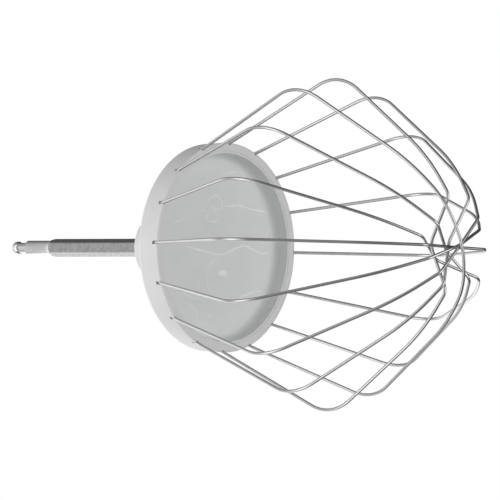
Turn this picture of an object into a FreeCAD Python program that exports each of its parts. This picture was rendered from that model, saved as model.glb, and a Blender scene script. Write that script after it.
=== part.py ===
"""Balloon whisk for a kitchen machine: hexagonal drive shaft, white bell cap and eight wire loops.

Every piece is drawn in one working frame: its axis is Z, the shaft points up, the mouth (lip) of the
bell cap lies at height 0 and the wire cage hangs below it. The bodies are then lowered by lip_drop,
so that the frame's origin is on the axis at the shoulder where the round neck meets the hexagon.
Lengths are millimetres.
"""
import FreeCAD, Part
import math
import os
import Sketcher

os.makedirs("parts", exist_ok=True)
doc = FreeCAD.newDocument("balloon_whisk")
Vec = FreeCAD.Vector

# ---------------------------------------------------------------- driving dimensions
DIMENSIONS = {
    # frame: the shaft's shoulder stands this far above the lip
    "lip_drop": 105.0,
    # bell cap, outside
    "lip_radius": 46.4, "lip_inner_radius": 42.7, "wall_top_radius": 45.9, "wall_top_height": 10.9,
    "boss_radius": 14.0, "boss_foot_height": 38.5, "boss_top_height": 42.7,
    "wall_edge_round": 2.0, "boss_edge_round": 1.0, "lip_edge_round": 0.5,
    # bell cap, inside
    "floor_height": 7.0, "ledge_height": 9.5, "ledge_radius": 41.4, "ledge_roof_height": 11.39,
    "hub_radius": 11.0, "hub_foot_height": 21.0, "hub_root_height": 37.6,
    "rib_thickness": 2.0, "rib_inner_radius": 14.0, "rib_outer_radius": 38.0, "rib_foot_height": 13.0,
    "rib_sink": 1.0,
    # inner disc: a shallow dish whose wall lines the mouth of the cap
    "disc_radius": 42.65, "disc_wall": 0.95, "disc_rim_height": 0.4, "disc_corner_radius": 3.0,
    "notch_radius": 1.65, "notch_centre_radius": 42.7, "notch_depth": 3.2,
    # holes and open slots of the wire legs in the cap's wall
    "leg_slope": 0.4554, "leg_foot_radius": 46.34, "wire_hole_radius": 0.95, "wire_hole_inset": 0.22,
    "hole_start_depth": 3.0, "hole_end_height": 11.3, "slot_width": 1.5, "slot_height": 3.9,
    # wire loops
    "wire_diameter": 1.4, "hook_end_radius": 33.0, "hook_height": 10.3, "hook_bend": 1.6,
    "leg_bend_depth": 2.5, "leg_bend": 60.0, "belly_bend": 21.6, "flank_share": 0.75,
    "flank_bulge": 4.9, "flank_bend": 90.0, "shoulder_bend": 5.0, "crown_bend": 8.0, "outer_bend": 36.0,
    # clamp ring over the hooked wire ends
    "clamp_inner_radius": 31.0, "clamp_outer_radius": 38.0, "clamp_thickness": 2.0,
    # drive shaft, heights from the lip
    "hex_flats": 7.2, "hex_foot_height": 15.5, "hex_lead_length": 3.5, "hex_foot_chamfer": 0.8,
    "neck_radius": 3.3, "neck_top_height": 119.4, "neck_chamfer": 1.3, "neck_shoulder_cut": 0.3,
    "throat_radius": 2.3, "ball_radius": 2.9, "ball_height": 124.8,
    # thrust washer and retaining ring on the shaft's foot
    "washer_radius": 13.0, "washer_thickness": 2.5, "hex_play": 0.05,
    "ring_groove_radius": 2.9, "ring_thickness": 1.2, "ring_outer_radius": 6.0,
    "ring_gap_width": 4.4,
}

# Each loop is bent by hand, so it has its own shape. The plus side is the leg that leaves the cap
# towards +X before the loop is turned into its place. Belly and shoulder are distances of those
# corners from the axis; the crown offset is towards the plus side; depths are below the lip. The
# last loop passes under all the others and has wide bends at its shoulders and crown.
LOOP_FIELDS = ["belly_plus", "belly_minus", "belly_depth_plus", "belly_depth_minus", "shoulder_plus",
               "shoulder_minus", "shoulder_depth", "crown_offset", "crown_depth"]
LOOPS = [
    [77.0, 74.4, 62.0, 63.7, 22.5, 19.0, 126.5, 1.2, 116.7],
    [76.0, 71.9, 60.0, 64.1, 23.2, 18.0, 130.6, 2.8, 126.3],
    [76.4, 71.0, 61.7, 65.9, 18.6, 16.0, 132.4, 1.6, 132.8],
    [73.1, 72.0, 61.5, 62.9, 22.1, 13.8, 127.3, 2.1, 131.3],
    [75.6, 74.8, 62.0, 62.0, 20.5, 19.5, 130.5, 0.5, 128.6],
    [77.7, 73.1, 61.3, 61.6, 31.7, 11.0, 120.5, 12.7, 109.9],
    [73.3, 73.4, 61.5, 62.7, 18.9, 14.0, 128.5, 2.5, 124.4],
    [71.5, 76.0, 64.1, 62.5, 17.8, 21.7, 130.7, -1.3, 135.8],
]
LOOP_COUNT = len(LOOPS)
LEG_COUNT = 2 * LOOP_COUNT
RIB_COUNT = 8
for number, values in enumerate(LOOPS, start=1):
    for name, value in zip(LOOP_FIELDS, values):
        DIMENSIONS[f"{name}_{number}"] = value

sheet = doc.addObject("Spreadsheet::Sheet", "Dimensions")
for row, (alias, value) in enumerate(DIMENSIONS.items(), start=1):
    sheet.set(f"A{row}", alias)
    sheet.set(f"B{row}", str(value))
    sheet.setAlias(f"B{row}", alias)
doc.recompute()


def dim(alias):
    """A driving dimension as the sheet holds it."""
    return float(sheet.get(alias))


def cell(alias):
    """The same dimension, as an expression that binds to its cell."""
    return f"Dimensions.{alias}"


# ---------------------------------------------------------------- small tools for bodies and sketches
BODIES = []
TOLERANCE = 1e-4
# how far a cutting profile reaches past the surface that it cuts
CUT_MARGIN = 1


def new_body(label):
    """A body named after its piece, lowered so that the frame's origin is at the shaft's shoulder."""
    body = doc.addObject("PartDesign::Body", label)
    body.Label = label
    body.setExpression("Placement.Base.z", f"-{cell('lip_drop')}")
    BODIES.append(body)
    return body


def origin_feature(body, role):
    """The body's own origin plane or axis with that role."""
    return next(item for item in body.Origin.OriginFeatures if item.Role == role)


def new_sketch(body, name, plane="XZ_Plane", offset=None):
    """A sketch on one of the body's own origin planes, moved along its normal by an expression."""
    sketch = body.newObject("Sketcher::SketchObject", name)
    sketch.AttachmentSupport = [(origin_feature(body, plane), "")]
    sketch.MapMode = "FlatFace"
    if offset is not None:
        sketch.setExpression("AttachmentOffset.Base.z", offset)
    return sketch


def evaluate(item, expression):
    """The value that an expression of the sheet's cells has now."""
    value = item.evalExpression(expression)
    return float(getattr(value, "Value", value))


def constrain(sketch, kind, *where, expression):
    """Add one driving constraint, bound to an expression of the sheet's cells."""
    index = sketch.addConstraint(Sketcher.Constraint(kind, *where, evaluate(sketch, expression)))
    sketch.setExpression(f"Constraints[{index}]", expression)


def place_point(sketch, geometry, end, x_expression, y_expression):
    """Fix one end of a line, or a point, at signed distances from the sketch's origin."""
    for kind, expression in (("DistanceX", x_expression), ("DistanceY", y_expression)):
        if evaluate(sketch, expression) < 0:
            constrain(sketch, kind, geometry, end, -1, 1, expression=f"-({expression})")
        elif expression == "0":
            axis = -2 if kind == "DistanceX" else -1
            sketch.addConstraint(Sketcher.Constraint("PointOnObject", geometry, end, axis))
        else:
            constrain(sketch, kind, -1, 1, geometry, end, expression=expression)


def outline(sketch, corners):
    """A closed outline of straight lines through corners given as pairs of expressions."""
    points = [Vec(evaluate(sketch, x), evaluate(sketch, y), 0) for x, y in corners]
    count = len(points)
    for index in range(count):
        sketch.addGeometry(Part.LineSegment(points[index], points[(index + 1) % count]), False)
    for index in range(count):
        sketch.addConstraint(Sketcher.Constraint("Coincident", index, 2, (index + 1) % count, 1))
    for index, (x, y) in enumerate(corners):
        place_point(sketch, index, 1, x, y)


def hexagon(sketch, flats_expression):
    """A regular hexagon about the origin with two corners on the X axis."""
    corner_radius = evaluate(sketch, flats_expression) / math.sqrt(3)
    corners = [Vec(corner_radius * math.cos(math.radians(60 * i)),
                   corner_radius * math.sin(math.radians(60 * i)), 0) for i in range(6)]
    for index in range(6):
        sketch.addGeometry(Part.LineSegment(corners[index], corners[(index + 1) % 6]), False)
    circle = sketch.addGeometry(Part.Circle(Vec(0, 0, 0), Vec(0, 0, 1), corner_radius), True)
    sketch.addConstraint(Sketcher.Constraint("Coincident", circle, 3, -1, 1))
    for index in range(6):
        sketch.addConstraint(Sketcher.Constraint("Coincident", index, 2, (index + 1) % 6, 1))
        sketch.addConstraint(Sketcher.Constraint("PointOnObject", index, 1, circle))
    for index in range(1, 6):
        sketch.addConstraint(Sketcher.Constraint("Equal", 0, index))
    sketch.addConstraint(Sketcher.Constraint("PointOnObject", 0, 1, -1))
    constrain(sketch, "Radius", circle, expression=f"{flats_expression} / sqrt(3)")


def circle(sketch, radius_expression):
    """A circle about the sketch's origin."""
    outline_circle = Part.Circle(Vec(0, 0, 0), Vec(0, 0, 1), evaluate(sketch, radius_expression))
    index = sketch.addGeometry(outline_circle, False)
    sketch.addConstraint(Sketcher.Constraint("Coincident", index, 3, -1, 1))
    constrain(sketch, "Radius", index, expression=radius_expression)


def revolve(body, sketch, kind="PartDesign::Revolution", name="turned"):
    """Turn a profile about the body's Z axis, adding it or cutting it away."""
    feature = body.newObject(kind, name)
    feature.Profile = sketch
    feature.ReferenceAxis = (origin_feature(body, "Z_Axis"), [""])
    feature.Angle = 360.0
    sketch.Visibility = False
    return feature


def extrude(body, sketch, length_expression, kind="PartDesign::Pad", name="pad", midplane=False):
    """Pad or pocket a profile along its sketch's normal."""
    feature = body.newObject(kind, name)
    feature.Profile = sketch
    feature.setExpression("Length", length_expression)
    if midplane:
        feature.SideType = "Symmetric"
    return feature


def repeat_around(body, features, count, name):
    """Repeat features evenly about the body's Z axis."""
    pattern = body.newObject("PartDesign::PolarPattern", name)
    pattern.Originals = features
    pattern.Axis = (origin_feature(body, "Z_Axis"), [""])
    pattern.Angle = 360.0
    pattern.Occurrences = count
    body.Tip = pattern
    return pattern


def require_smaller(body, before, what):
    """A cut that misses its body raises no error of its own, so its volume is compared."""
    doc.recompute()
    if body.Shape.Volume >= before:
        raise RuntimeError(f"{what} cuts nothing from {body.Label}")


# ---------------------------------------------------------------- the legs' holes
def leg_radius(height_expression):
    """Radius of a leg's centre line inside the cap, at a height above the lip."""
    return f"({cell('leg_foot_radius')} - {cell('leg_slope')} * {height_expression})"


def cut_wire_holes(body):
    """One slanted hole and its open slot, on the line of a leg, repeated for all the legs.

    The hole is a little wider than the wire and set inwards, because the sprung leg lies against
    the outer side. The slot opens the hole through the outside of the wall, as wide as the wire.
    """
    doc.recompute()
    before = body.Shape.Volume
    slant = f"cos(atan({cell('leg_slope')}))"
    hole = body.newObject("PartDesign::SubtractiveCylinder", "wire_hole")
    hole.setExpression("Radius", cell("wire_hole_radius"))
    hole.setExpression("Height", f"({cell('hole_start_depth')} + {cell('hole_end_height')}) / {slant}")
    foot_x = dim("leg_foot_radius") - dim("wire_hole_inset") + dim("leg_slope") * dim("hole_start_depth")
    tilt = FreeCAD.Rotation(Vec(0, 1, 0), -math.degrees(math.atan(dim("leg_slope"))))
    hole.Placement = FreeCAD.Placement(Vec(foot_x, 0, -dim("hole_start_depth")), tilt)
    slot_profile = new_sketch(body, "slot_profile")
    outside = f"({cell('lip_radius')} + {CUT_MARGIN})"
    outline(slot_profile, [
        (leg_radius(f"-{CUT_MARGIN}"), f"-{CUT_MARGIN}"),
        (outside, f"-{CUT_MARGIN}"),
        (outside, cell("slot_height")),
        (leg_radius(cell("slot_height")), cell("slot_height")),
    ])
    slot = extrude(body, slot_profile, cell("slot_width"), kind="PartDesign::Pocket", name="slot",
                   midplane=True)
    repeat_around(body, [hole, slot], LEG_COUNT, "wire_holes")
    require_smaller(body, before, "the wire holes")


# ---------------------------------------------------------------- bell cap
bell = new_body("bell_cap")
profile = new_sketch(bell, "bell_profile")
outline(profile, [
    (cell("lip_inner_radius"), "0"),
    (cell("lip_radius"), "0"),
    (cell("wall_top_radius"), cell("wall_top_height")),
    (cell("boss_radius"), cell("boss_foot_height")),
    (cell("boss_radius"), cell("boss_top_height")),
    ("0", cell("boss_top_height")),
    ("0", cell("hub_foot_height")),
    (cell("hub_radius"), cell("hub_foot_height")),
    (cell("hub_radius"), cell("hub_root_height")),
    (cell("ledge_radius"), cell("ledge_roof_height")),
    (cell("ledge_radius"), cell("ledge_height")),
    (cell("lip_inner_radius"), cell("ledge_height")),
])
shell = revolve(bell, profile, name="bell_shell")
doc.recompute()


def round_circles(body, base, circles, rounding):
    """Fillet the circular edges with these (radius, height) pairs; the rounding is a cell's alias."""
    names = []
    for index, edge in enumerate(base.Shape.Edges, start=1):
        curve = edge.Curve
        if curve.TypeId != "Part::GeomCircle":
            continue
        for radius, height in circles:
            if abs(curve.Radius - radius) < TOLERANCE and abs(curve.Center.z - height) < TOLERANCE:
                names.append(f"Edge{index}")
    fillet = body.newObject("PartDesign::Fillet", f"{rounding}_fillet")
    fillet.Base = (base, names)
    fillet.setExpression("Radius", cell(rounding))
    doc.recompute()
    return fillet


wall_circles = [(dim("wall_top_radius"), dim("wall_top_height"))]
boss_circles = [(dim("boss_radius"), dim("boss_top_height")), (dim("boss_radius"), dim("boss_foot_height"))]
lip_circles = [(dim("lip_radius"), 0.0), (dim("lip_inner_radius"), 0.0)]
wall_round = round_circles(bell, shell, wall_circles, "wall_edge_round")
boss_round = round_circles(bell, wall_round, boss_circles, "boss_edge_round")
round_circles(bell, boss_round, lip_circles, "lip_edge_round")

# Radial ribs stiffen the cone and press the clamp ring down on the hooked wire ends.
rib_profile = new_sketch(bell, "rib_profile")
ROOF_SLOPE = (f"(({cell('hub_root_height')} - {cell('ledge_roof_height')})"
              f" / ({cell('ledge_radius')} - {cell('hub_radius')}))")
RIB_OUTER_ROOF = (f"{cell('ledge_roof_height')} + {ROOF_SLOPE}"
                  f" * ({cell('ledge_radius')} - {cell('rib_outer_radius')}) + {cell('rib_sink')}")
outline(rib_profile, [
    (f"{cell('hub_radius')} - {cell('rib_sink')}", cell("hub_foot_height")),
    (cell("rib_inner_radius"), cell("hub_foot_height")),
    (cell("rib_inner_radius"), cell("rib_foot_height")),
    (cell("rib_outer_radius"), cell("rib_foot_height")),
    (cell("rib_outer_radius"), RIB_OUTER_ROOF),
    (f"{cell('hub_radius')} - {cell('rib_sink')}", f"{cell('hub_root_height')} + {cell('rib_sink')}"),
])
rib = extrude(bell, rib_profile, cell("rib_thickness"), name="rib", midplane=True)
repeat_around(bell, [rib], RIB_COUNT, "ribs")
doc.recompute()

bell_before_bore = bell.Shape.Volume
bore_profile = new_sketch(bell, "hex_bore_profile", "XY_Plane", offset=cell("boss_top_height"))
hexagon(bore_profile, cell("hex_flats"))
hex_bore = extrude(bell, bore_profile, f"{cell('boss_top_height')} - {cell('hub_foot_height')}",
                   kind="PartDesign::Pocket", name="hex_bore")
require_smaller(bell, bell_before_bore, "the hexagonal bore")
cut_wire_holes(bell)

# ---------------------------------------------------------------- inner disc
# A moulded dish that closes the cap: its back rests on the cap's ledge, to which it is welded, and
# its thin wall lines the mouth almost to the lip.
disc = new_body("inner_disc")
disc_profile = new_sketch(disc, "disc_profile")
wall_inside = f"{cell('disc_radius')} - {cell('disc_wall')}"
outline(disc_profile, [
    ("0", cell("floor_height")),
    (wall_inside, cell("floor_height")),
    (wall_inside, cell("disc_rim_height")),
    (cell("disc_radius"), cell("disc_rim_height")),
    (cell("disc_radius"), cell("ledge_height")),
    ("0", cell("ledge_height")),
])
disc_blank = revolve(disc, disc_profile, name="disc_blank")
doc.recompute()
round_circles(disc, disc_blank, [(dim("disc_radius") - dim("disc_wall"), dim("floor_height"))],
              "disc_corner_radius")

# Blind notches in the disc's back edge make room for the legs, which lean inwards above the floor.
disc_before_notches = disc.Shape.Volume
notch_profile = new_sketch(disc, "notch_profile", "XY_Plane", offset=cell("ledge_height"))
notch_circle = notch_profile.addGeometry(
    Part.Circle(Vec(dim("notch_centre_radius"), 0, 0), Vec(0, 0, 1), dim("notch_radius")), False)
notch_profile.addConstraint(Sketcher.Constraint("PointOnObject", notch_circle, 3, -1))
constrain(notch_profile, "DistanceX", -1, 1, notch_circle, 3, expression=cell("notch_centre_radius"))
constrain(notch_profile, "Radius", notch_circle, expression=cell("notch_radius"))
notch = extrude(disc, notch_profile, cell("notch_depth"), kind="PartDesign::Pocket", name="notch")
repeat_around(disc, [notch], LEG_COUNT, "notches")
require_smaller(disc, disc_before_notches, "the edge notches")

# ---------------------------------------------------------------- drive shaft
# A drawn hexagonal bar with a turned neck, throat and ball at its free end.
shaft = new_body("drive_shaft")
hex_profile = new_sketch(shaft, "hex_profile", "XY_Plane", offset=cell("hex_foot_height"))
hexagon(hex_profile, cell("hex_flats"))
hex_bar = extrude(shaft, hex_profile, f"{cell('lip_drop')} - {cell('hex_foot_height')}", name="hex_bar")

ball_profile = new_sketch(shaft, "neck_and_ball_profile")
THROAT_TOP = f"({cell('ball_height')} - sqrt({cell('ball_radius')}^2 - {cell('throat_radius')}^2))"
neck_points = [
    ("0", f"{cell('lip_drop')} - {cell('neck_shoulder_cut')}"),
    (cell("neck_radius"), f"{cell('lip_drop')} - {cell('neck_shoulder_cut')}"),
    (cell("neck_radius"), f"{cell('neck_top_height')} - {cell('neck_chamfer')}"),
    (cell("throat_radius"), cell("neck_top_height")),
    (cell("throat_radius"), THROAT_TOP),
    ("0", f"{cell('ball_height')} + {cell('ball_radius')}"),
]
corners = [Vec(evaluate(ball_profile, x), evaluate(ball_profile, y), 0) for x, y in neck_points]
for start, end in zip(corners[:4], corners[1:5]):
    ball_profile.addGeometry(Part.LineSegment(start, end), False)
ball_centre = Vec(0, dim("ball_height"), 0)
start_angle = math.atan2(corners[4].y - ball_centre.y, corners[4].x)
ball_circle = Part.Circle(ball_centre, Vec(0, 0, 1), dim("ball_radius"))
ball_arc = ball_profile.addGeometry(Part.ArcOfCircle(ball_circle, start_angle, math.pi / 2), False)
axis_line = ball_profile.addGeometry(Part.LineSegment(corners[5], corners[0]), False)
for line in range(3):
    ball_profile.addConstraint(Sketcher.Constraint("Coincident", line, 2, line + 1, 1))
ball_profile.addConstraint(Sketcher.Constraint("Coincident", 3, 2, ball_arc, 1))
ball_profile.addConstraint(Sketcher.Constraint("Coincident", ball_arc, 2, axis_line, 1))
ball_profile.addConstraint(Sketcher.Constraint("Coincident", axis_line, 2, 0, 1))
ball_profile.addConstraint(Sketcher.Constraint("PointOnObject", ball_arc, 3, -2))
for line, (x, y) in enumerate(neck_points[:4]):
    place_point(ball_profile, line, 1, x, y)
ball_profile.addConstraint(Sketcher.Constraint("Vertical", 3))
ball_profile.addConstraint(Sketcher.Constraint("PointOnObject", ball_arc, 2, -2))
constrain(ball_profile, "Radius", ball_arc, expression=cell("ball_radius"))
constrain(ball_profile, "DistanceY", -1, 1, ball_arc, 3, expression=cell("ball_height"))
neck_and_ball = revolve(shaft, ball_profile, name="neck_and_ball")
doc.recompute()

# A turned cone leads the hexagon's corners into the drive socket; the foot is chamfered the same way.
shaft_before_turning = shaft.Shape.Volume
HEX_CORNER = f"({cell('hex_flats')} / sqrt(3))"
PAST_THE_HEXAGON = f"({HEX_CORNER} + {CUT_MARGIN})"
lead_profile = new_sketch(shaft, "lead_in_profile")
outline(lead_profile, [
    (cell("neck_radius"), cell("lip_drop")),
    (HEX_CORNER, f"{cell('lip_drop')} - {cell('hex_lead_length')}"),
    (PAST_THE_HEXAGON, f"{cell('lip_drop')} - {cell('hex_lead_length')}"),
    (PAST_THE_HEXAGON, cell("lip_drop")),
])
revolve(shaft, lead_profile, "PartDesign::Groove", "lead_in_cone")
require_smaller(shaft, shaft_before_turning, "the lead-in cone")

shaft_before_foot = shaft.Shape.Volume
foot_profile = new_sketch(shaft, "foot_chamfer_profile")
outline(foot_profile, [
    (f"{HEX_CORNER} - {cell('hex_foot_chamfer')}", cell("hex_foot_height")),
    (PAST_THE_HEXAGON, cell("hex_foot_height")),
    (PAST_THE_HEXAGON, f"{cell('hex_foot_height')} + {cell('hex_foot_chamfer')} + {CUT_MARGIN}"),
])
revolve(shaft, foot_profile, "PartDesign::Groove", "foot_chamfer")
require_smaller(shaft, shaft_before_foot, "the foot chamfer")

# The retaining ring sits in this groove, just under the thrust washer.
WASHER_FOOT = f"({cell('hub_foot_height')} - {cell('washer_thickness')})"
shaft_before_groove = shaft.Shape.Volume
groove_profile = new_sketch(shaft, "ring_groove_profile")
outline(groove_profile, [
    (cell("ring_groove_radius"), f"{WASHER_FOOT} - {cell('ring_thickness')}"),
    (PAST_THE_HEXAGON, f"{WASHER_FOOT} - {cell('ring_thickness')}"),
    (PAST_THE_HEXAGON, WASHER_FOOT),
    (cell("ring_groove_radius"), WASHER_FOOT),
])
revolve(shaft, groove_profile, "PartDesign::Groove", "ring_groove")
require_smaller(shaft, shaft_before_groove, "the ring groove")

# ---------------------------------------------------------------- thrust washer, retaining ring, clamp ring
washer = new_body("thrust_washer")
washer_profile = new_sketch(washer, "washer_profile", "XY_Plane", offset=WASHER_FOOT)
circle(washer_profile, cell("washer_radius"))
extrude(washer, washer_profile, cell("washer_thickness"), name="washer_blank")
doc.recompute()
washer_before = washer.Shape.Volume
washer_hole = new_sketch(washer, "washer_hole", "XY_Plane", offset=cell("hub_foot_height"))
hexagon(washer_hole, f"({cell('hex_flats')} + 2 * {cell('hex_play')})")
extrude(washer, washer_hole, cell("washer_thickness"), kind="PartDesign::Pocket", name="hex_hole")
require_smaller(washer, washer_before, "the washer's hole")

ring = new_body("retaining_ring")
ring_base = f"{WASHER_FOOT} - {cell('ring_thickness')}"
ring_outer = new_sketch(ring, "ring_outer", "XY_Plane", offset=ring_base)
circle(ring_outer, cell("ring_outer_radius"))
extrude(ring, ring_outer, cell("ring_thickness"), name="ring_blank")
doc.recompute()
ring_before = ring.Shape.Volume
ring_inner = new_sketch(ring, "ring_inner", "XY_Plane", offset=WASHER_FOOT)
circle(ring_inner, f"{cell('ring_groove_radius')} + {cell('hex_play')}")
extrude(ring, ring_inner, cell("ring_thickness"), kind="PartDesign::Pocket", name="ring_bore")
ring_mouth = new_sketch(ring, "ring_mouth", "XY_Plane", offset=WASHER_FOOT)
outline(ring_mouth, [
    ("0", f"-{cell('ring_gap_width')} / 2"),
    (f"{cell('ring_outer_radius')} + {CUT_MARGIN}", f"-{cell('ring_gap_width')} / 2"),
    (f"{cell('ring_outer_radius')} + {CUT_MARGIN}", f"{cell('ring_gap_width')} / 2"),
    ("0", f"{cell('ring_gap_width')} / 2"),
])
extrude(ring, ring_mouth, cell("ring_thickness"), kind="PartDesign::Pocket", name="ring_gap")
require_smaller(ring, ring_before, "the ring's bore and gap")

clamp = new_body("wire_clamp_ring")
CLAMP_FOOT = f"({cell('rib_foot_height')} - {cell('clamp_thickness')})"
clamp_profile = new_sketch(clamp, "clamp_profile")
outline(clamp_profile, [
    (cell("clamp_inner_radius"), CLAMP_FOOT),
    (cell("clamp_outer_radius"), CLAMP_FOOT),
    (cell("clamp_outer_radius"), cell("rib_foot_height")),
    (cell("clamp_inner_radius"), cell("rib_foot_height")),
])
revolve(clamp, clamp_profile, name="clamp_turned")

# ---------------------------------------------------------------- wire loops
def loop_corners(number):
    """Corners of one loop's centre line before its bends are rounded, with the bend at each.

    The list runs from the hooked end on the plus side, down to the crown and up to the other hook.
    """
    outermost = number == LOOP_COUNT
    shoulder_bend = cell("outer_bend" if outermost else "shoulder_bend")
    crown_bend = cell("outer_bend" if outermost else "crown_bend")
    shoulder_depth = cell(f"shoulder_depth_{number}")
    halves = []
    for side, name in (("", "plus"), ("-", "minus")):
        belly = cell(f"belly_{name}_{number}")
        belly_depth = cell(f"belly_depth_{name}_{number}")
        shoulder = cell(f"shoulder_{name}_{number}")
        run = f"({belly} - {shoulder})"
        rise = f"({shoulder_depth} - {belly_depth})"
        span = f"sqrt({run}^2 + {rise}^2)"
        flank = f"({belly} - {cell('flank_share')} * {run} + {cell('flank_bulge')} * {rise} / {span})"
        flank_depth = (f"({belly_depth} + {cell('flank_share')} * {rise}"
                       f" + {cell('flank_bulge')} * {run} / {span})")
        halves.append([
            (f"{side}{leg_radius(cell('hook_height'))}", cell("hook_height"), cell("hook_bend")),
            (f"{side}{leg_radius('-' + cell('leg_bend_depth'))}", f"-{cell('leg_bend_depth')}",
             cell("leg_bend")),
            (f"{side}{belly}", f"-{belly_depth}", cell("belly_bend")),
            (f"{side}{flank}", f"-{flank_depth}", cell("flank_bend")),
            (f"{side}{shoulder}", f"-{shoulder_depth}", shoulder_bend),
        ])
    crown = [(cell(f"crown_offset_{number}"), f"-{cell(f'crown_depth_{number}')}", crown_bend)]
    return halves[0] + crown + halves[1][::-1]


def rounded_centre_line(sketch, number):
    """Draw a loop's centre line: straight runs joined by tangent arcs, all bound to the sheet."""
    bends = loop_corners(number)
    ends = [(f"{side}{cell('hook_end_radius')}", cell("hook_height")) for side in ("", "-")]
    places = [ends[0]] + [(x, y) for x, y, bend in bends] + [ends[1]]
    points = [Vec(evaluate(sketch, x), evaluate(sketch, y), 0) for x, y in places]
    run_ends = [points[0]]
    arcs = []
    for before, corner, after, (x, y, bend) in zip(points, points[1:], points[2:], bends):
        radius = evaluate(sketch, bend)
        inward = (before - corner).normalize()
        outward = (after - corner).normalize()
        half_angle = inward.getAngle(outward) / 2
        trim = radius / math.tan(half_angle)
        if trim > 0.98 * min((before - corner).Length, (after - corner).Length):
            raise RuntimeError(f"a bend of {radius:.1f} does not fit on loop {number}")
        start = corner + inward * trim
        end = corner + outward * trim
        centre = corner + (inward + outward).normalize() * (radius / math.sin(half_angle))
        run_ends += [start, end]
        turns_left = inward.cross(outward).z < 0
        first, last = (start, end) if turns_left else (end, start)
        first_angle = math.atan2(first.y - centre.y, first.x - centre.x)
        last_angle = math.atan2(last.y - centre.y, last.x - centre.x)
        if last_angle < first_angle:
            last_angle += 2 * math.pi
        arc = Part.ArcOfCircle(Part.Circle(centre, Vec(0, 0, 1), radius), first_angle, last_angle)
        arcs.append((arc, turns_left))
    run_ends.append(points[-1])
    runs = [sketch.addGeometry(Part.LineSegment(start, end), False)
            for start, end in zip(run_ends[::2], run_ends[1::2])]
    for index, ((x, y, bend), (arc, turns_left)) in enumerate(zip(bends, arcs)):
        arc_index = sketch.addGeometry(arc, False)
        corner_point = sketch.addGeometry(Part.Point(points[index + 1]), True)
        # an arc runs anticlockwise, so its start lies on the run before it only on a left turn
        end_before, end_after = (1, 2) if turns_left else (2, 1)
        sketch.addConstraint(Sketcher.Constraint("Tangent", runs[index], 2, arc_index, end_before))
        sketch.addConstraint(Sketcher.Constraint("Tangent", runs[index + 1], 1, arc_index, end_after))
        sketch.addConstraint(Sketcher.Constraint("PointOnObject", corner_point, 1, runs[index]))
        sketch.addConstraint(Sketcher.Constraint("PointOnObject", corner_point, 1, runs[index + 1]))
        constrain(sketch, "Radius", arc_index, expression=bend)
        place_point(sketch, corner_point, 1, x, y)
    place_point(sketch, runs[0], 1, *ends[0])
    place_point(sketch, runs[-1], 2, *ends[1])


for number in range(1, LOOP_COUNT + 1):
    wire = new_body(f"whisk_wire_{number}")
    turned = FreeCAD.Rotation(Vec(0, 0, 1), (number - 1) * 180.0 / LOOP_COUNT)
    wire.Placement = FreeCAD.Placement(Vec(0, 0, -dim("lip_drop")), turned)
    centre_line = new_sketch(wire, f"centre_line_{number}")
    rounded_centre_line(centre_line, number)
    section = new_sketch(wire, f"section_{number}", "YZ_Plane", offset=cell("hook_end_radius"))
    section_circle = section.addGeometry(
        Part.Circle(Vec(0, dim("hook_height"), 0), Vec(0, 0, 1), dim("wire_diameter") / 2), False)
    section.addConstraint(Sketcher.Constraint("PointOnObject", section_circle, 3, -2))
    constrain(section, "DistanceY", -1, 1, section_circle, 3, expression=cell("hook_height"))
    constrain(section, "Radius", section_circle, expression=f"{cell('wire_diameter')} / 2")
    doc.recompute()
    pipe = wire.newObject("PartDesign::AdditivePipe", f"bent_wire_{number}")
    pipe.Profile = section
    pipe.Spine = (centre_line, [])
    pipe.Mode = "Standard"
    pipe.Transition = "Transformed"

doc.recompute()

# ---------------------------------------------------------------- check every object, then write the pieces
for item in doc.Objects:
    if "Invalid" in item.State or "Error" in item.State:
        raise RuntimeError(f"{item.Label} did not recompute: {item.State}")
for item in doc.Objects:
    if item.TypeId == "Sketcher::SketchObject" and item.solve() != 0:
        raise RuntimeError(f"{item.Label} has conflicting constraints")
for body in BODIES:
    if body.Shape.isNull() or not body.Shape.isValid() or len(body.Shape.Solids) != 1:
        raise RuntimeError(f"{body.Label} is not one valid solid")
for body in BODIES:
    body.Shape.exportStep(f"parts/{body.Label}.step")
    box = body.Shape.BoundBox
    print(f"{body.Label}: {body.Shape.Volume:.0f} mm3, x {box.XMin:.2f} to {box.XMax:.2f},"
          f" y {box.YMin:.2f} to {box.YMax:.2f}, z {box.ZMin:.2f} to {box.ZMax:.2f}")
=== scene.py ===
"""Looks of a balloon whisk: steel drive shaft, white bell cap, eight spring wire loops.

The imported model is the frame. Its origin is on the shaft's axis, at the shoulder under the round
neck; +Z points up the shaft, so the cage of wires hangs down. Lengths are metres.
"""
import math
import bmesh
import bpy
from mathutils import Matrix, Vector


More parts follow.
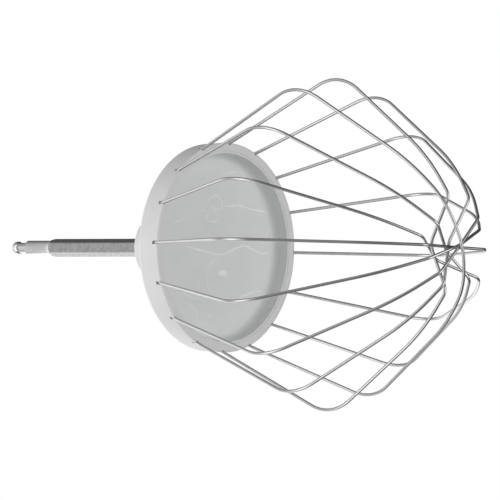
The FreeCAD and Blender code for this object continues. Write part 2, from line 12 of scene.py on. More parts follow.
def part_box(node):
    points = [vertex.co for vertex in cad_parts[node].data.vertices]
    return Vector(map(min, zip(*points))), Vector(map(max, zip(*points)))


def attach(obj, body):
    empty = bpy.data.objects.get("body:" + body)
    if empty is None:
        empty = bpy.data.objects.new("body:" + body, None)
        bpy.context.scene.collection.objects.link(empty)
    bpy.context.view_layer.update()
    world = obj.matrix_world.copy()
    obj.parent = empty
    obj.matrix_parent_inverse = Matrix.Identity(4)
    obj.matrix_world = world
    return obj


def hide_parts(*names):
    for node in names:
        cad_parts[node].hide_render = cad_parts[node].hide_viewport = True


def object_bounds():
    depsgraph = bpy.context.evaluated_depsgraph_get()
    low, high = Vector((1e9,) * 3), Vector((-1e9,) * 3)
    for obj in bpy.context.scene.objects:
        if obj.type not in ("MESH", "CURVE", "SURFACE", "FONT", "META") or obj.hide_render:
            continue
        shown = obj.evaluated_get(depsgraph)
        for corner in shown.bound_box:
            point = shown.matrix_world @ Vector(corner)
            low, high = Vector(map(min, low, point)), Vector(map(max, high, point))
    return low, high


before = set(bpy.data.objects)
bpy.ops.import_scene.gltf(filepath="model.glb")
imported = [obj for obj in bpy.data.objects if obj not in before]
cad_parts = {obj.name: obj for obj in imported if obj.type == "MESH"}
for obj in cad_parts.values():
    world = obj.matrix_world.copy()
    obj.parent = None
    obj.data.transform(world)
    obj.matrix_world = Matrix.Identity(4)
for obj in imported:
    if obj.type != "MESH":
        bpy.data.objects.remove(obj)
cad_low, cad_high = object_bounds()
scene = bpy.context.scene


# ------------------------------------------------------------------------------------------------
# Drive shaft: a drawn hexagonal stainless bar whose free end is turned to a round neck, a throat
# and a ball. Drawing leaves fine lines along the flats; turning leaves fine rings on neck and ball.
# ------------------------------------------------------------------------------------------------
MM = 0.001
BODY = "root"


def linear(hex_colour):
    """An sRGB hex colour as linear RGBA."""
    channels = [int(hex_colour[i:i + 2], 16) / 255 for i in (1, 3, 5)]
    return [c / 12.92 if c <= 0.04045 else ((c + 0.055) / 1.055) ** 2.4 for c in channels] + [1.0]


def add(material, kind, links=(), **settings):
    """Add one node; settings are its properties or input values, links are (input, node, output)."""
    node = material.node_tree.nodes.new(kind)
    for name, value in settings.items():
        socket = name.replace("_", " ")
        if hasattr(node, name):
            setattr(node, name, value)
        elif socket in node.inputs:
            node.inputs[socket].default_value = value
        else:
            raise KeyError(f"{kind} has no {name}")
    for name, source, output in links:
        material.node_tree.links.new(source.outputs[output], node.inputs[name])
    return node


def new_material(name, **shader_settings):
    """A material with one Principled shader; its plain numbers are set on the shader's own sockets."""
    material = bpy.data.materials.new(name)
    material.use_nodes = True
    shader = material.node_tree.nodes["Principled BSDF"]
    for setting, value in shader_settings.items():
        shader.inputs[setting.replace("_", " ")].default_value = value
    return material, shader


def feed(material, socket, source, output):
    """Drive one input of a shader or node from another node's output."""
    material.node_tree.links.new(source.outputs[output], socket)


def mesh_piece(name, bm, material, slot, *nodes, sharp_angle):
    """Turn a bmesh into a smooth-shaded piece that rides on the body and stands for its CAD nodes."""
    bmesh.ops.recalc_face_normals(bm, faces=bm.faces)
    mesh = bpy.data.meshes.new(name)
    bm.to_mesh(mesh)
    bm.free()
    mesh.shade_smooth()
    mesh.set_sharp_from_angle(angle=math.radians(sharp_angle))
    piece = bpy.data.objects.new(name, mesh)
    scene.collection.objects.link(piece)
    mesh.materials.append(material)
    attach(piece, BODY)
    if nodes:
        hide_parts(*nodes)
    return piece


def lofted(rings, closed_profile=False):
    """A closed skin over rings of equally many points; open ends are capped with one face each."""
    bm = bmesh.new()
    loops = [[bm.verts.new(point) for point in ring] for ring in rings]
    pairs = list(zip(loops, loops[1:]))
    if closed_profile:
        pairs.append((loops[-1], loops[0]))
    count = len(loops[0])
    for lower, upper in pairs:
        for i in range(count):
            j = (i + 1) % count
            bm.faces.new((lower[i], lower[j], upper[j], upper[i]))
    if not closed_profile:
        bm.faces.new(reversed(loops[0]))
        bm.faces.new(loops[-1])
    return bm


shaft_low, shaft_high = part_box("drive_shaft")
FLATS = shaft_high.y - shaft_low.y
CORNERS = FLATS / math.sqrt(3)
CORNER_WEAR = 0.12 * MM
FOOT_CHAMFER_IN, FOOT_CHAMFER_UP = 0.8 * MM, 1.7 * MM
LEAD_LENGTH = 3.5 * MM
NECK_RADIUS, THROAT_RADIUS, BALL_RADIUS = 3.3 * MM, 2.3 * MM, 2.9 * MM
NECK_TOP, NECK_CHAMFER = 14.4 * MM, 1.3 * MM
THROAT_STEP = (0.15 * MM, 0.1 * MM)
TOOL_CLEAR = 0.1 * MM
BAR_STEPS, LEAD_STEPS, BALL_STEPS = 12, 24, 32
BALL_TIP_FLAT = 0.985


def hexagon_radius(angle):
    """Distance from the axis to the hexagon's flank in that direction, with slightly worn corners."""
    from_flat = (angle - math.radians(30)) % math.radians(60)
    from_flat = min(from_flat, math.radians(60) - from_flat)
    sharp = FLATS / 2 / math.cos(from_flat)
    return min(sharp, CORNERS - CORNER_WEAR)


def shaft_stations():
    """Heights along the shaft with the turning tool's radius at each; the tool clears the bar's flats."""
    foot = shaft_low.z
    bar_start = foot + FOOT_CHAMFER_UP + TOOL_CLEAR
    stations = [(foot, CORNERS - FOOT_CHAMFER_IN), (foot + FOOT_CHAMFER_UP, CORNERS + TOOL_CLEAR)]
    for i in range(BAR_STEPS + 1):
        stations.append((bar_start + (-LEAD_LENGTH - bar_start) * i / BAR_STEPS, CORNERS + TOOL_CLEAR))
    for i in range(1, LEAD_STEPS + 1):
        share = i / LEAD_STEPS
        stations.append((-LEAD_LENGTH * (1 - share), CORNERS + (NECK_RADIUS - CORNERS) * share))
    stations += [(NECK_TOP - NECK_CHAMFER, NECK_RADIUS),
                 (NECK_TOP - THROAT_STEP[0], THROAT_RADIUS + THROAT_STEP[1]), (NECK_TOP, THROAT_RADIUS)]
    ball_centre = shaft_high.z - BALL_RADIUS
    first_angle = math.acos(THROAT_RADIUS / BALL_RADIUS)
    for i in range(BALL_STEPS + 1):
        angle = -first_angle + (math.pi / 2 * BALL_TIP_FLAT + first_angle) * i / BALL_STEPS
        stations.append((ball_centre + BALL_RADIUS * math.sin(angle), BALL_RADIUS * math.cos(angle)))
    return stations


SHAFT_SIDES = 144
shaft_angles = [2 * math.pi * i / SHAFT_SIDES for i in range(SHAFT_SIDES)]
SHOULDER_LEVEL = 1e-6
shaft_rings = []
for height, tool_radius in shaft_stations():
    ring = []
    for angle in shaft_angles:
        radius = min(tool_radius, hexagon_radius(angle)) if height < SHOULDER_LEVEL else tool_radius
        ring.append((radius * math.cos(angle), radius * math.sin(angle), height))
    shaft_rings.append(ring)

# Drawn and turned stainless steel: lines along the bar and rings round the neck give a soft streaky
# sheen; both are coarser here than the real 0.1 mm, so that they show. The flats keep the bar's duller
# mottled skin, and the turned neck and ball are cut bright. On top of that real difference, the flats'
# colour is painted darker as painted shade, and the neck's and ball's lighter as a painted highlight.
steel, shader = new_material("drawn_stainless_bar", Base_Color=linear("#b6b6b6"), Metallic=1.0,
                             Roughness=0.26)
place = add(steel, "ShaderNodeTexCoord")
drawn_scale = add(steel, "ShaderNodeMapping", [("Vector", place, "Object")], Scale=(1, 1, 0.03))
drawn_lines = add(steel, "ShaderNodeTexNoise", [("Vector", drawn_scale, "Vector")], Scale=1 / (0.7 * MM),
                  Detail=4.0, Roughness=0.7)
turned_scale = add(steel, "ShaderNodeMapping", [("Vector", place, "Object")], Scale=(0.02, 0.02, 1))
turned_rings = add(steel, "ShaderNodeTexNoise", [("Vector", turned_scale, "Vector")], Scale=1 / (0.25 * MM),
                   Detail=2.0)
height_split = add(steel, "ShaderNodeSeparateXYZ", [("Vector", place, "Object")])
on_neck = add(steel, "ShaderNodeMath", [(0, height_split, "Z")], operation="GREATER_THAN")
on_neck.inputs[1].default_value = -LEAD_LENGTH / 2
finish_lines = add(steel, "ShaderNodeMix", [("Factor", on_neck, "Value")])
feed(steel, finish_lines.inputs[2], drawn_lines, 0)
feed(steel, finish_lines.inputs[3], turned_rings, 0)
streaks = add(steel, "ShaderNodeMapRange", [("Value", finish_lines, "Result")], To_Min=0.16, To_Max=0.34)
feed(steel, shader.inputs["Roughness"], streaks, "Result")
stains = add(steel, "ShaderNodeTexNoise", [("Vector", place, "Object")], Scale=1 / (1.6 * MM), Detail=4.0)
# Painted light as well as finish: the flats' colour is painted darker as painted shade, and the neck's and
# ball's lighter as a painted highlight.
dull_skin_and_painted_shade = add(steel, "ShaderNodeValToRGB", [("Fac", stains, 0)])
bright_cut_and_painted_highlight = add(steel, "ShaderNodeValToRGB", [("Fac", drawn_lines, 0)])
for ramp, dark, light in ((dull_skin_and_painted_shade, "#9c9c9c", "#aeaeae"), (bright_cut_and_painted_highlight, "#bcbcbc", "#e4e4e4")):
    ramp.color_ramp.elements[0].position, ramp.color_ramp.elements[1].position = 0.35, 0.65
    ramp.color_ramp.elements[0].color, ramp.color_ramp.elements[1].color = linear(dark), linear(light)
finish_and_painted_light_tint = add(steel, "ShaderNodeMix", [("Factor", on_neck, "Value")], data_type="RGBA")
feed(steel, finish_and_painted_light_tint.inputs[6], dull_skin_and_painted_shade, 0)
feed(steel, finish_and_painted_light_tint.inputs[7], bright_cut_and_painted_highlight, 0)
feed(steel, shader.inputs["Base Color"], finish_and_painted_light_tint, 2)
relief = add(steel, "ShaderNodeBump", [("Height", finish_lines, "Result")], Strength=0.06, Distance=0.05 * MM)
feed(steel, shader.inputs["Normal"], relief, "Normal")

mesh_piece("shaft_bar", lofted(shaft_rings), steel, "shaft_steel", "drive_shaft", sharp_angle=18.0)


# ------------------------------------------------------------------------------------------------
# Bell cap: one white injection-moulded shell with a hub that the shaft is pushed through. Sixteen
# slanted holes take the wire legs, and each opens into a short slot at the foot of the wall.
# ------------------------------------------------------------------------------------------------
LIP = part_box("bell_cap")[0].z
HUB_BORE = 3.62
LATHE_SIDES = 240
CAP_SHARP = 32.0
LEG_COUNT = 16
LEG_SLOPE, LEG_FOOT_RADIUS = 0.4554, 46.34
HOLE_RADIUS, HOLE_INSET, HOLE_LENGTH, HOLE_MIDDLE = 0.76, 0.1, 15.5, 4.2
SLOT_WIDTH, SLOT_HEIGHT, SLOT_REACH, SLOT_BELOW = 1.42, 3.0, 48, -1


def round_corner(before, corner, after, rounding, steps):
    """Points of the arc that rounds one corner, tangent to both its sides."""
    corner = Vector(corner)
    inward = (Vector(before) - corner).normalized()
    outward = (Vector(after) - corner).normalized()
    half_angle = inward.angle(outward) / 2
    start = corner + inward * rounding / math.tan(half_angle)
    centre = corner + (inward + outward).normalized() * rounding / math.sin(half_angle)
    turn = math.copysign(math.pi - 2 * half_angle, -(inward.x * outward.y - inward.y * outward.x))
    first = math.atan2(start.y - centre.y, start.x - centre.x)
    angles = [first + turn * i / steps for i in range(steps + 1)]
    return [centre + rounding * Vector((math.cos(a), math.sin(a))) for a in angles]


def rounded_outline(corners, steps=8):
    """Corners (radius, height, rounding) in millimetres above the lip as an outline with round corners."""
    points = []
    for index, (x, y, rounding) in enumerate(corners):
        if rounding == 0:
            points.append(Vector((x, y)))
        else:
            after = corners[(index + 1) % len(corners)]
            points += round_corner(corners[index - 1][:2], (x, y), after[:2], rounding, steps)
    return points


def lathe(outline):
    """Turn a closed outline (radius, height above the lip, in millimetres) about the axis."""
    rings = []
    for point in outline:
        radius, height = point.x * MM, LIP + point.y * MM
        angles = [2 * math.pi * i / LATHE_SIDES for i in range(LATHE_SIDES)]
        rings.append([(radius * math.cos(a), radius * math.sin(a), height) for a in angles])
    return rings


cap_outline = rounded_outline([
    (42.7, 0, 0.1), (46.4, 0, 0.5), (45.9, 10.9, 2.0), (14.0, 38.5, 1.0), (14.0, 42.7, 1.0),
    (HUB_BORE, 42.7, 0),
    (HUB_BORE, 21.0, 0), (11.0, 21.0, 0.3), (11.0, 37.6, 1.0), (41.4, 11.39, 0.5), (41.4, 9.5, 0),
    (42.7, 9.5, 0)])
cap_mesh = lofted(lathe(cap_outline), closed_profile=True)

# White moulded plastic: a neutral satin white that drifts a little in tone, with a faint moulding
# grain of 0.6 mm, drawn coarser than the real one.
white, shader = new_material("moulded_white_plastic", Base_Color=linear("#e8e8e8"), Roughness=0.38, IOR=1.47)
place = add(white, "ShaderNodeTexCoord")
cloud = add(white, "ShaderNodeTexNoise", [("Vector", place, "Object")], Scale=1 / (14 * MM), Detail=2.0)
shade = add(white, "ShaderNodeValToRGB", [("Fac", cloud, 0)])
shade.color_ramp.elements[0].color = linear("#e4e4e4")
shade.color_ramp.elements[1].color = linear("#ececec")
feed(white, shader.inputs["Base Color"], shade, "Color")
grain = add(white, "ShaderNodeTexNoise", [("Vector", place, "Object")], Scale=1 / (0.6 * MM), Detail=3.0)
relief = add(white, "ShaderNodeBump", [("Height", grain, 0)], Strength=0.05, Distance=0.05 * MM)
feed(white, shader.inputs["Normal"], relief, "Normal")

cap = mesh_piece("cap_shell", cap_mesh, white, "cap_plastic", "bell_cap", sharp_angle=CAP_SHARP)

hole_cutters = bmesh.new()
slot_cutters = bmesh.new()
tilt = Matrix.Rotation(-math.atan(LEG_SLOPE), 4, "Y")
for leg in range(LEG_COUNT):
    turn = Matrix.Rotation(2 * math.pi * leg / LEG_COUNT, 4, "Z")
    middle = Vector((LEG_FOOT_RADIUS - HOLE_INSET - LEG_SLOPE * HOLE_MIDDLE, 0, HOLE_MIDDLE))
    seat = turn @ Matrix.Translation(middle * MM + Vector((0, 0, LIP))) @ tilt
    bmesh.ops.create_cone(hole_cutters, cap_ends=True, segments=32, radius1=HOLE_RADIUS * MM,
                          radius2=HOLE_RADIUS * MM, depth=HOLE_LENGTH * MM, matrix=seat)
    side = [(LEG_FOOT_RADIUS - LEG_SLOPE * SLOT_BELOW, SLOT_BELOW), (SLOT_REACH, SLOT_BELOW),
            (SLOT_REACH, SLOT_HEIGHT), (LEG_FOOT_RADIUS - LEG_SLOPE * SLOT_HEIGHT, SLOT_HEIGHT)]
    ends = [[slot_cutters.verts.new(turn @ Vector((x * MM, y * MM, LIP + z * MM))) for x, z in side]
            for y in (-SLOT_WIDTH / 2, SLOT_WIDTH / 2)]
    slot_cutters.faces.new(ends[0])
    slot_cutters.faces.new(reversed(ends[1]))
    for i in range(len(side)):
        j = (i + 1) % len(side)
        slot_cutters.faces.new((ends[0][j], ends[0][i], ends[1][i], ends[1][j]))


def cut_away(piece, cutters):
    """Cut a bmesh of closed solids out of a piece and keep the result as the piece's own mesh."""
    bmesh.ops.recalc_face_normals(cutters, faces=cutters.faces)
    cutter_mesh = bpy.data.meshes.new("cutters")
    cutters.to_mesh(cutter_mesh)
    cutters.free()
    cutter = bpy.data.objects.new("cutters", cutter_mesh)
    scene.collection.objects.link(cutter)
    cut = piece.modifiers.new("cut", "BOOLEAN")
    cut.operation = "DIFFERENCE"
    cut.solver = "EXACT"
    cut.object = cutter
    graph = bpy.context.evaluated_depsgraph_get()
    made = bpy.data.meshes.new_from_object(piece.evaluated_get(graph))
    piece.modifiers.clear()
    piece.data = made
    made.set_sharp_from_angle(angle=math.radians(CAP_SHARP))
    bpy.data.objects.remove(cutter)


cut_away(cap, hole_cutters)
cut_away(cap, slot_cutters)


# ------------------------------------------------------------------------------------------------
# Inner disc: a grey-white moulded dish that sits against a ledge in the cap's mouth. Its floor is
# 7 mm behind the lip and its rim is nearly level with it. It shows a gate mark and faint flow lines.
# ------------------------------------------------------------------------------------------------
DISC_RADIUS, DISC_WALL, RIM, FLOOR, LEDGE, CORNER = 42.65, 0.95, 0.15, 7.0, 9.5, 3.0
disc_outline = rounded_outline([
    (0.02, FLOOR, 0), (DISC_RADIUS - DISC_WALL, FLOOR, CORNER), (DISC_RADIUS - DISC_WALL, RIM, 0.2),
    (DISC_RADIUS, RIM, 0.1), (DISC_RADIUS, LEDGE, 0), (0.02, LEDGE, 0)], steps=14)
disc_mesh = lofted(lathe(disc_outline), closed_profile=True)

# The same plastic as the cap in a cooler grey white and more matt, with a slow ripple where the
# moulding shrank as it cooled.
disc_plastic, shader = new_material("moulded_grey_white_plastic", Base_Color=linear("#e8eae9"),
                                    Roughness=0.5, IOR=1.47, Specular_IOR_Level=0.35)
place = add(disc_plastic, "ShaderNodeTexCoord")
cloud = add(disc_plastic, "ShaderNodeTexNoise", [("Vector", place, "Object")], Scale=1 / (12 * MM),
            Detail=4.0)
shade = add(disc_plastic, "ShaderNodeValToRGB", [("Fac", cloud, 0)])
shade.color_ramp.elements[0].color = linear("#e4e6e5")
shade.color_ramp.elements[1].color = linear("#eeefef")
feed(disc_plastic, shader.inputs["Base Color"], shade, "Color")
ripple = add(disc_plastic, "ShaderNodeTexNoise", [("Vector", place, "Object")], Scale=1 / (9 * MM),
             Detail=2.0)
relief = add(disc_plastic, "ShaderNodeBump", [("Height", ripple, 0)], Strength=0.15, Distance=0.4 * MM)
feed(disc_plastic, shader.inputs["Normal"], relief, "Normal")

mesh_piece("floor_disc", disc_mesh, disc_plastic, "disc_plastic", "inner_disc", sharp_angle=30.0)

# Flow lines stand proud of the floor as soft beads, higher than real ones so that they show. Their
# points are (x, y) in millimetres; the faint ones are narrower.
BEAD_WIDTH, FAINT_WIDTH, BEAD_HEIGHT = 0.95, 0.55, 0.18
FLOW_LINES = [
    [(18.8, 5.6), (18.7, 9.4), (19.4, 16.1), (18.5, 20.7), (17.9, 27.4), (17.5, 34.7)],
    [(-0.3, -20.0), (-1.8, -8.6), (-2.8, 1.1), (-2.4, 6.6), (0.9, 15.9), (1.7, 20.4), (0.5, 24.9),
     (-1.0, 30.1), (-1.0, 33.9), (0.0, 37.3)],
    [(-20.9, 18.0), (-19.9, 22.5), (-17.8, 28.0), (-18.2, 32.9)],
]
FAINT_LINES = [
    [(9.2, -29.4), (11.9, -20.6), (14.6, -12.8), (16.3, -6.3)],
    [(-3.8, 3.2), (-5.6, -0.6), (-8.7, -3.2), (-12.5, -4.4), (-16.2, -4.3), (-19.0, -2.7)],
    [(-20.8, -22.4), (-23.4, -11.0), (-24.2, -3.2)],
    [(-24.5, -18.4), (-27.7, -12.7), (-32.0, -9.0)],
    [(12.6, 37.1), (8.8, 35.5), (4.3, 32.6)],
    [(-29.8, -4.6), (-31.0, 2.0), (-31.6, 9.0)],
    [(32.9, 5.5), (34.2, 11.4), (34.0, 17.4)],
]
# Swirls left where two streams met: middle and half-width along each axis. They wander in and out.
SWIRLS = [((19.8, -0.7), (3.0, 4.8)), ((14.3, -2.3), (3.2, 4.2))]
SWIRL_WANDER, SWIRL_LOBES, SWIRL_STEPS = 0.06, 3, 36
TAPER_POINTS, TAPER_END = 6, 0.15
BEAD_STEPS = 8
GATE_MIDDLE, GATE_REACH = (-11.1, 6.3), (1.4, 3.0)
GATE_SHARES, GATE_SIDES = (1.0, 0.75, 0.5, 0.25, 0.05), 32


def smooth_line(points, steps=8):
    """A Catmull-Rom curve through the points."""
    padded = [points[0]] + points + [points[-1]]
    line = []
    for p0, p1, p2, p3 in zip(padded, padded[1:], padded[2:], padded[3:]):
        for i in range(steps):
            t = i / steps
            line.append(tuple(0.5 * (2 * b + (c - a) * t + (2 * a - 5 * b + 4 * c - d) * t * t
                                     + (3 * b - a - 3 * c + d) * t ** 3)
                              for a, b, c, d in zip(p0, p1, p2, p3)))
    line.append(points[-1])
    return [Vector(point) for point in line]


def lay_bead(bm, line, width, closed=False):
    """Add a low round-backed bead along a line on the dish's floor; open ends taper away."""
    rings = []
    count = len(line)
    for index, point in enumerate(line):
        ahead = line[(index + 1) % count] if closed or index + 1 < count else point
        behind = line[index - 1] if closed or index > 0 else point
        along = (ahead - behind).normalized()
        across = Vector((-along.y, along.x))
        end_distance = count if closed else min(index, count - 1 - index)
        fullness = min(1.0, TAPER_END + end_distance / TAPER_POINTS)
        ring = []
        for step in range(BEAD_STEPS + 1):
            angle = math.pi * step / BEAD_STEPS
            flat = point + across * (width / 2 * fullness * math.cos(angle))
            lift = BEAD_HEIGHT * fullness * math.sin(angle)
            ring.append(bm.verts.new((flat.x * MM, flat.y * MM, LIP + (FLOOR - lift) * MM)))
        rings.append(ring)
    pairs = list(zip(rings, rings[1:]))
    if closed:
        pairs.append((rings[-1], rings[0]))
    for first, second in pairs:
        for a, b, c, d in zip(first, first[1:], second[1:], second):
            bm.faces.new((a, b, c, d))


bead_mesh = bmesh.new()
for lines, width in ((FLOW_LINES, BEAD_WIDTH), (FAINT_LINES, FAINT_WIDTH)):
    for points in lines:
        lay_bead(bead_mesh, smooth_line(points), width)
for (x, y), (reach_x, reach_y) in SWIRLS:
    swirl = []
    for step in range(SWIRL_STEPS):
        angle = 2 * math.pi * step / SWIRL_STEPS
        reach = 1 + SWIRL_WANDER * math.sin(SWIRL_LOBES * angle + x)
        swirl.append(Vector((x + reach_x * reach * math.cos(angle), y + reach_y * reach * math.sin(angle))))
    lay_bead(bead_mesh, swirl, FAINT_WIDTH, closed=True)

# The gate mark is a low lens where the plastic was let into the mould.
gate_rings = []
for share in GATE_SHARES:
    lift = BEAD_HEIGHT * (1 - share ** 2)
    gate_rings.append([
        bead_mesh.verts.new(((GATE_MIDDLE[0] + GATE_REACH[0] * share * math.cos(a)) * MM,
                             (GATE_MIDDLE[1] + GATE_REACH[1] * share * math.sin(a)) * MM,
                             LIP + (FLOOR - lift) * MM))
        for a in (2 * math.pi * i / GATE_SIDES for i in range(GATE_SIDES))])
for outer, inner in zip(gate_rings, gate_rings[1:]):
    for i in range(GATE_SIDES):
        j = (i + 1) % GATE_SIDES
        bead_mesh.faces.new((outer[i], outer[j], inner[j], inner[i]))
bead_mesh.faces.new(gate_rings[-1])

# The flow lines and the gate mark are coloured whiter than the floor round them, and are a little glossier.
flow_line_whiter, shader = new_material("whiter_flow_line_plastic", Base_Color=linear("#fafbfb"), Roughness=0.3,
                                 IOR=1.47)
place = add(flow_line_whiter, "ShaderNodeTexCoord")
patches = add(flow_line_whiter, "ShaderNodeTexNoise", [("Vector", place, "Object")], Scale=1 / (5 * MM), Detail=2.0)
shade = add(flow_line_whiter, "ShaderNodeValToRGB", [("Fac", patches, 0)])
shade.color_ramp.elements[0].color = linear("#f4f6f5")
shade.color_ramp.elements[0].position = 0.35
shade.color_ramp.elements[1].color = linear("#ffffff")
shade.color_ramp.elements[1].position = 0.65
feed(flow_line_whiter, shader.inputs["Base Color"], shade, "Color")
mesh_piece("flow_line_beads", bead_mesh, flow_line_whiter, "disc_plastic", sharp_angle=60.0)


# ------------------------------------------------------------------------------------------------
# Clamp ring, thrust washer and retaining ring: plain stamped steel parts closed inside the cap.
# They keep the frame's own meshes and only get a zinc-grey stamped finish.
# ------------------------------------------------------------------------------------------------
# Stamped steel: a dull grey whose rolled surface is unevenly matt, in patches of 1.5 mm.
stamped, shader = new_material("stamped_steel", Base_Color=linear("#a8a8a6"), Metallic=1.0, Roughness=0.45)
place = add(stamped, "ShaderNodeTexCoord")
rolled = add(stamped, "ShaderNodeTexNoise", [("Vector", place, "Object")], Scale=1 / (1.5 * MM), Detail=4.0)
rolled_range = add(stamped, "ShaderNodeMapRange", [("Value", rolled, 0)], To_Min=0.35, To_Max=0.55)
feed(stamped, shader.inputs["Roughness"], rolled_range, "Result")
for node in ("wire_clamp_ring", "thrust_washer", "retaining_ring"):
    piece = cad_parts[node]
    piece.data.materials.clear()
    piece.data.materials.append(stamped)


# ------------------------------------------------------------------------------------------------
# Wire loops: eight lengths of 1.4 mm stainless spring wire, bent by hand over a former and hooked
# into the cap. Their crowns cross near the axis, one over the other, so each has its own depth.
# ------------------------------------------------------------------------------------------------
WIRE_RADIUS = 0.7
WIRE_SIDES = 20
HOOK_END, HOOK_HEIGHT, HOOK_BEND = 33.0, 10.3, 1.6
LEG_BEND_DEPTH, LEG_BEND = 2.5, 60.0
BELLY_BEND, SHOULDER_BEND, CROWN_BEND, OUTER_BEND = 21.6, 5.0, 8.0, 36.0
FLANK_SHARE, FLANK_BULGE, FLANK_BEND = 0.75, 4.9, 90.0
# For each loop: belly radius of the plus and minus leg, belly depth of both, shoulder radius of both,
# shoulder depth, the crown's offset towards the plus leg and its depth. The last loop runs under all
# the others, with wide bends.
LOOPS = [
    (77.0, 74.4, 62.0, 63.7, 22.5, 19.0, 126.5, 1.2, 116.7),
    (76.0, 71.9, 60.0, 64.1, 23.2, 18.0, 130.6, 2.8, 126.3),
    (76.4, 71.0, 61.7, 65.9, 18.6, 16.0, 132.4, 1.6, 132.8),
    (73.1, 72.0, 61.5, 62.9, 22.1, 13.8, 127.3, 2.1, 131.3),
    (75.6, 74.8, 62.0, 62.0, 20.5, 19.5, 130.5, 0.5, 128.6),
    (77.7, 73.1, 61.3, 61.6, 31.7, 11.0, 120.5, 12.7, 109.9),
    (73.3, 73.4, 61.5, 62.7, 18.9, 14.0, 128.5, 2.5, 124.4),
    (71.5, 76.0, 64.1, 62.5, 17.8, 21.7, 130.7, -1.3, 135.8),
]


def loop_corners(belly_plus, belly_minus, depth_plus, depth_minus, shoulder_plus, shoulder_minus,
                 shoulder_depth, crown_offset, crown_depth, shoulder_bend, crown_bend):
    """A loop's corners (x, height above the lip, bend) from one hook to the other, in millimetres."""
    halves = []
    for side, belly, belly_depth, shoulder in ((1, belly_plus, depth_plus, shoulder_plus),
                                               (-1, belly_minus, depth_minus, shoulder_minus)):
        run = Vector((shoulder - belly, belly_depth - shoulder_depth))
        bulge = Vector((-run.y, run.x)).normalized() * FLANK_BULGE
        flank = Vector((belly, -belly_depth)) + run * FLANK_SHARE + bulge
        halves.append([
            (side * HOOK_END, HOOK_HEIGHT, 0),
            (side * (LEG_FOOT_RADIUS - LEG_SLOPE * HOOK_HEIGHT), HOOK_HEIGHT, HOOK_BEND),
            (side * (LEG_FOOT_RADIUS + LEG_SLOPE * LEG_BEND_DEPTH), -LEG_BEND_DEPTH, LEG_BEND),
            (side * belly, -belly_depth, BELLY_BEND),
            (side * flank.x, flank.y, FLANK_BEND),
            (side * shoulder, -shoulder_depth, shoulder_bend)])
    return halves[0] + [(crown_offset, -crown_depth, crown_bend)] + halves[1][::-1]


def centre_line(corners):
    """Points along straight runs joined by tangent arcs, from one hook's end to the other."""
    points = [Vector(corners[0][:2])]
    for before, here, after in zip(corners, corners[1:], corners[2:]):
        points += round_corner(before[:2], here[:2], after[:2], here[2], steps=24)
    points.append(Vector(corners[-1][:2]))
    return points


def wire_rings(points, plane_angle):
    """Rings of a round wire along points of a vertical plane through the axis."""
    across = Vector((math.cos(plane_angle), math.sin(plane_angle), 0))
    sideways = Vector((-math.sin(plane_angle), math.cos(plane_angle), 0))
    rings = []
    for index, point in enumerate(points):
        ahead = points[min(index + 1, len(points) - 1)] - points[max(index - 1, 0)]
        ahead.normalize()
        normal = across * -ahead.y + Vector((0, 0, ahead.x))
        centre = across * point.x + Vector((0, 0, LIP / MM + point.y))
        ring = []
        for side in range(WIRE_SIDES):
            angle = 2 * math.pi * side / WIRE_SIDES
            arm = normal * math.cos(angle) + sideways * math.sin(angle)
            ring.append((centre + arm * WIRE_RADIUS) * MM)
        rings.append(ring)
    return rings


# Bright drawn stainless spring wire: nearly a mirror, softened unevenly by the marks of the die,
# which are 1.2 mm here and much finer on the real wire.
wire_steel, shader = new_material("bright_drawn_spring_wire", Base_Color=linear("#bcbcbc"), Metallic=1.0,
                                  Roughness=0.2)
place = add(wire_steel, "ShaderNodeTexCoord")
die_marks = add(wire_steel, "ShaderNodeTexNoise", [("Vector", place, "Object")], Scale=1 / (1.2 * MM),
                Detail=3.0)
die_range = add(wire_steel, "ShaderNodeMapRange", [("Value", die_marks, 0)], To_Min=0.17, To_Max=0.29)
feed(wire_steel, shader.inputs["Roughness"], die_range, "Result")

for number, shape in enumerate(LOOPS, start=1):
    bends = (OUTER_BEND, OUTER_BEND) if number == len(LOOPS) else (SHOULDER_BEND, CROWN_BEND)
    route = centre_line(loop_corners(*shape, *bends))
    angle = (number - 1) * math.pi / len(LOOPS)
    mesh_piece(f"wire_loop_{number}", lofted(wire_rings(route, angle)), wire_steel, "stainless_wire",
               f"whisk_wire_{number}", sharp_angle=60.0)


# ------------------------------------------------------------------------------------------------
# Camera: a long lens far off, looking up past the cage into the cap's mouth, with the shaft to the left.
# ------------------------------------------------------------------------------------------------
azimuth, elevation, roll = math.radians(-2.92), math.radians(-40.83), math.radians(0.1)
CAMERA_DISTANCE, CLIP_END = 3.538, 20.0
SENSOR_WIDTH, LENS = 36.0, 576.0
AIM_RIGHT, AIM_UP = 10.36 * MM, -1.08 * MM
camera_data = bpy.data.cameras.new("camera")
camera_data.sensor_width = SENSOR_WIDTH
camera_data.lens = LENS
camera_data.clip_end = CLIP_END
camera = bpy.data.objects.new("camera", camera_data)
scene.collection.objects.link(camera)
scene.camera = camera
toward = Vector((math.sin(azimuth) * math.cos(elevation), -math.cos(azimuth) * math.cos(elevation),
                 math.sin(elevation)))
down_axis = Vector((0, 0, -1))
right = (down_axis - toward * down_axis.dot(toward)).normalized()
right.rotate(Matrix.Rotation(-roll, 3, toward))
up = toward.cross(right)
aim = Vector((0, 0, LIP)) + right * AIM_RIGHT + up * AIM_UP
basis = Matrix((right, up, toward)).transposed().to_4x4()
camera.matrix_world = Matrix.Translation(aim + toward * CAMERA_DISTANCE) @ basis


# ------------------------------------------------------------------------------------------------
# Studio: big soft boxes round the whisk, painted into the world, with dark gaps between them that
# the bright wire mirrors as its dark lines. The backdrop is plain white and the floor is pale.
# ------------------------------------------------------------------------------------------------
SURROUND = 0.03
# The share of the white backdrop that glossy surfaces mirror; more would wash out the dark lines.
BACKDROP_IN_METAL = 0.05
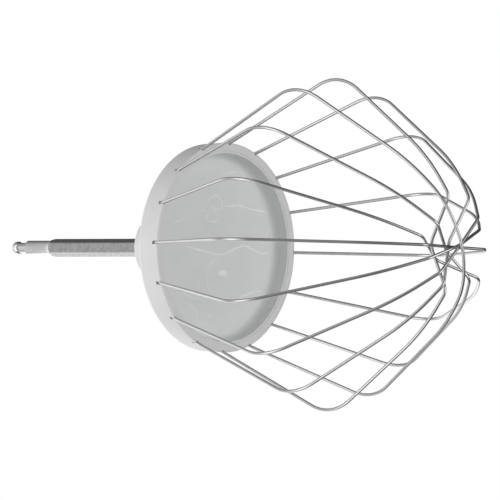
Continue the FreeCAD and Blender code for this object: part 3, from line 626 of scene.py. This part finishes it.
# Each box: degrees round from the camera (to the left negative), degrees up, brightness, tightness,
# and how far it is drawn out upwards and downwards, from 0, round, to 1, a full-height strip.
SOFT_BOXES = [
    (-59, -2, 2.15, 19.0, 0.96),
    (60, 2, 3.05, 9.5, 0.0),
    (-122, -1, 1.5, 9.0, 0.2),
    (-167, -29, 1.4, 8.5, 0.2),
    (-88, 50, 0.4, 8.0, 0.0),
    (-88, -50, 0.4, 8.0, 0.0),
    (-28, 42, 0.5, 8.0, 0.0),
    (-28, -42, 0.5, 8.0, 0.0),
]

world = bpy.data.worlds.new("white_studio")
scene.world = world
world.use_nodes = True
world.node_tree.nodes.clear()
ray = add(world, "ShaderNodeTexCoord")
height = add(world, "ShaderNodeVectorMath", [(0, ray, "Generated")], operation="DOT_PRODUCT")
height.inputs[1].default_value = up
height_squared = add(world, "ShaderNodeMath", [(0, height, "Value"), (1, height, "Value")],
                     operation="MULTIPLY")
light = None
for around, above, brightness, tightness, stretch in SOFT_BOXES:
    around, above = math.radians(around), math.radians(above)
    level = right * math.sin(around) + toward * math.cos(around)
    centre = level * math.cos(above) + up * math.sin(above)
    facing = add(world, "ShaderNodeVectorMath", [(0, ray, "Generated")], operation="DOT_PRODUCT")
    facing.inputs[1].default_value = centre
    falloff = add(world, "ShaderNodeMath", [(0, facing, "Value")], operation="MULTIPLY_ADD")
    falloff.inputs[1].default_value = tightness
    falloff.inputs[2].default_value = -tightness
    drawn_out = add(world, "ShaderNodeMath", [(0, height_squared, "Value"), (2, falloff, "Value")],
                    operation="MULTIPLY_ADD")
    drawn_out.inputs[1].default_value = tightness * stretch / 2
    soft_edge = add(world, "ShaderNodeMath", [(0, drawn_out, "Value")], operation="EXPONENT")
    below = [(2, light, "Value")] if light else []
    light = add(world, "ShaderNodeMath", [(0, soft_edge, "Value")] + below, operation="MULTIPLY_ADD")
    light.inputs[1].default_value = brightness
    if not below:
        light.inputs[2].default_value = SURROUND
lit = add(world, "ShaderNodeBackground", [("Color", light, "Value")])
plain_white = add(world, "ShaderNodeBackground", Color=(1, 1, 1, 1))
path = add(world, "ShaderNodeLightPath")
mirrored = add(world, "ShaderNodeMath", [(0, path, "Is Glossy Ray"), (2, path, "Is Camera Ray")],
               operation="MULTIPLY_ADD")
mirrored.inputs[1].default_value = BACKDROP_IN_METAL
shown = add(world, "ShaderNodeMath", [(0, mirrored, "Value"), (1, path, "Is Transmission Ray")],
            operation="ADD")
shown.use_clamp = True
mix = add(world, "ShaderNodeMixShader", [("Fac", shown, "Value")])
feed(world, mix.inputs[1], lit, "Background")
feed(world, mix.inputs[2], plain_white, "Background")
add(world, "ShaderNodeOutputWorld", [("Surface", mix, "Shader")])

# The floor is pale paper that shows from above only. It casts no shadow and is left out of mirrors
# and bounces, so that the soft boxes under it light the cap's mouth.
FLOOR_GAP, FLOOR_HALF = 4 * MM, 2.0
floor_mesh = bmesh.new()
bmesh.ops.create_grid(floor_mesh, x_segments=1, y_segments=1, size=FLOOR_HALF)
floor_data = bpy.data.meshes.new("floor")
floor_mesh.to_mesh(floor_data)
floor_mesh.free()
floor = bpy.data.objects.new("floor", floor_data)
scene.collection.objects.link(floor)
floor.location.z = cad_low.z - FLOOR_GAP
paper, shader = new_material("pale_paper", Base_Color=linear("#f2f2f1"), Roughness=0.9)
side = add(paper, "ShaderNodeNewGeometry")
see_through = add(paper, "ShaderNodeBsdfTransparent")
one_sided = add(paper, "ShaderNodeMixShader", [("Fac", side, "Backfacing")])
feed(paper, one_sided.inputs[1], shader, "BSDF")
feed(paper, one_sided.inputs[2], see_through, "BSDF")
feed(paper, paper.node_tree.nodes["Material Output"].inputs["Surface"], one_sided, "Shader")
floor_data.materials.append(paper)
floor.visible_glossy = False
floor.visible_diffuse = False
floor.visible_shadow = False

scene.view_settings.view_transform = "Standard"
